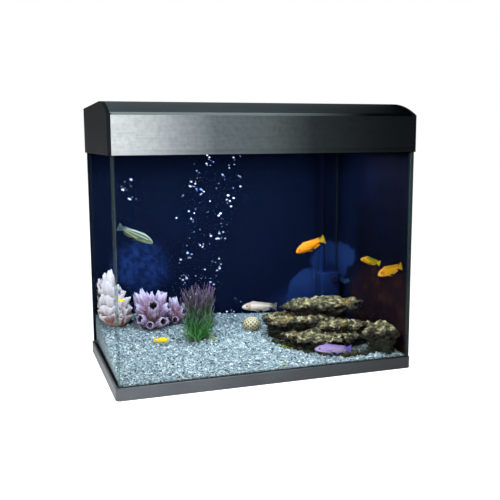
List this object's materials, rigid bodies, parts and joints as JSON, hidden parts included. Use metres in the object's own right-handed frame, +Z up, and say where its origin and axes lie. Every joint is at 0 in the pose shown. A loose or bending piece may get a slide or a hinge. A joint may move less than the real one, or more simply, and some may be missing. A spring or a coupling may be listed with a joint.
{
  "type": "aquarium with hood",
  "caption": "Rectangular glass aquarium on a low tray base, with a lift-off lighting and filter hood, rock and gravel bed, ornaments, fish and a circulation pump.",
  "frame": {"origin": "middle of the footprint, on the surface that the base stands on", "axes": "+X along the long side to the viewer's right, +Y from the front pane to the back, +Z up"},
  "size_m": [0.62, 0.36, 0.551],
  "materials": {
    "base_plastic": "satin",
    "board": "raw",
    "foam": "foam",
    "tank_glass": "polished",
    "silicone": "translucent",
    "backdrop_print": "printed film",
    "gravel": "crushed",
    "rock": "weathered",
    "white_coral": "matte",
    "barnacle": "ribbed",
    "plant": "satin",
    "urchin": "dotted",
    "air_stone": "porous",
    "fish_striped": "scaled",
    "fish_orange": "scaled",
    "fish_yellow": "scaled",
    "fish_white": "scaled",
    "fish_lilac": "scaled",
    "pump_plastic": "satin",
    "shaft_ceramic": "polished",
    "black_rubber": "matte",
    "pipe_plastic": "satin",
    "rotor": "sintered",
    "dial_plastic": "satin",
    "hood_plastic": "satin",
    "fascia_metal": "fine brushed",
    "pin_steel": "drawn",
    "reflector": "polished",
    "lamp_cover": "clear",
    "lamp_glass": "frosted white",
    "lamp_cap": "spun",
    "white_plastic": "satin",
    "ballast_steel": "white enamel",
    "switch_plastic": "satin",
    "switch_rocker": "gloss",
    "tray_plastic": "satin",
    "sponge": "open foam",
    "media_bag": "net"
  },
  "bodies": {
    "tank": {"base_frame": "base_plastic", "base_board": "board", "foam_mat": "foam", "glass_floor": "tank_glass", "glass_front": "tank_glass", "glass_rear": "tank_glass", "glass_left": "tank_glass", "glass_right": "tank_glass", "silicone_beads": "silicone", "glass_braces": "tank_glass", "backdrop_rear": "backdrop_print", "backdrop_side": "backdrop_print", "gravel_bed": "gravel", "rock_foundation": "rock", "rock_left_ledge": "rock", "rock_right_ledge": "rock", "rock_cap": "rock", "side_rock": "rock", "white_coral": "white_coral", "barnacle_cluster": "barnacle", "barnacle_cluster_small": "barnacle", "grass_plant": "plant", "urchin_shell": "urchin", "air_stone": "air_stone", "fish_striped": "fish_striped", "fish_orange": "fish_orange", "fish_yellow_small": "fish_yellow", "fish_yellow": "fish_yellow", "fish_white": "fish_white", "fish_lilac": "fish_lilac", "fish_fry": "fish_yellow", "pump_body": "pump_plastic", "pump_cover": "pump_plastic", "pump_shaft": "shaft_ceramic", "intake_strainer": "pump_plastic", "suction_cups": "black_rubber", "riser_pipe": "pipe_plastic"},
    "impeller": {"impeller": "rotor"},
    "flow_dial": {"flow_dial": "dial_plastic"},
    "hood": {"hood_frame": "hood_plastic", "hood_fascia": "fascia_metal", "lid_hinge_pins": "pin_steel", "lamp_reflector": "reflector", "lamp_cover": "lamp_cover", "lamp_tubes": "lamp_glass", "lamp_end_caps": "lamp_cap", "lamp_holders": "white_plastic", "ballast_box": "ballast_steel", "switch_housing": "switch_plastic", "cable_glands": "black_rubber", "filter_tray": "tray_plastic", "filter_sponge": "sponge", "media_bag": "media_bag", "pipe_elbow": "pipe_plastic", "spray_bar": "pipe_plastic"},
    "feeding_lid": {"feeding_lid": "hood_plastic"},
    "rear_cover": {"rear_cover": "hood_plastic"},
    "light_switch": {"light_switch": "switch_rocker"}
  },
  "joints": [
    {"name": "hood_lift", "type": "slide", "parent": "tank", "child": "hood", "axis": [0, 0, 1], "range_m": [0, 0.12]},
    {"name": "feeding_lid_hinge", "type": "hinge", "parent": "hood", "child": "feeding_lid", "pos_m": [0, 0.004, 0.54536], "axis": [-1, 0, 0], "range_deg": [0, 100]},
    {"name": "rear_cover_lift", "type": "slide", "parent": "hood", "child": "rear_cover", "axis": [0, 0, 1], "range_m": [0, 0.08]},
    {"name": "light_switch_rock", "type": "hinge", "parent": "hood", "child": "light_switch", "pos_m": [0.196, 0.1738, 0.506], "axis": [1, 0, 0], "range_deg": [0, 20]},
    {"name": "impeller_spin", "type": "hinge", "parent": "tank", "child": "impeller", "pos_m": [0.262, 0.138, 0.09], "axis": [0, 0, 1], "continuous": true},
    {"name": "flow_dial_turn", "type": "hinge", "parent": "tank", "child": "flow_dial", "pos_m": [0.268, 0.115, 0.142], "axis": [0, -1, 0], "range_deg": [0, 90]}
  ]
}
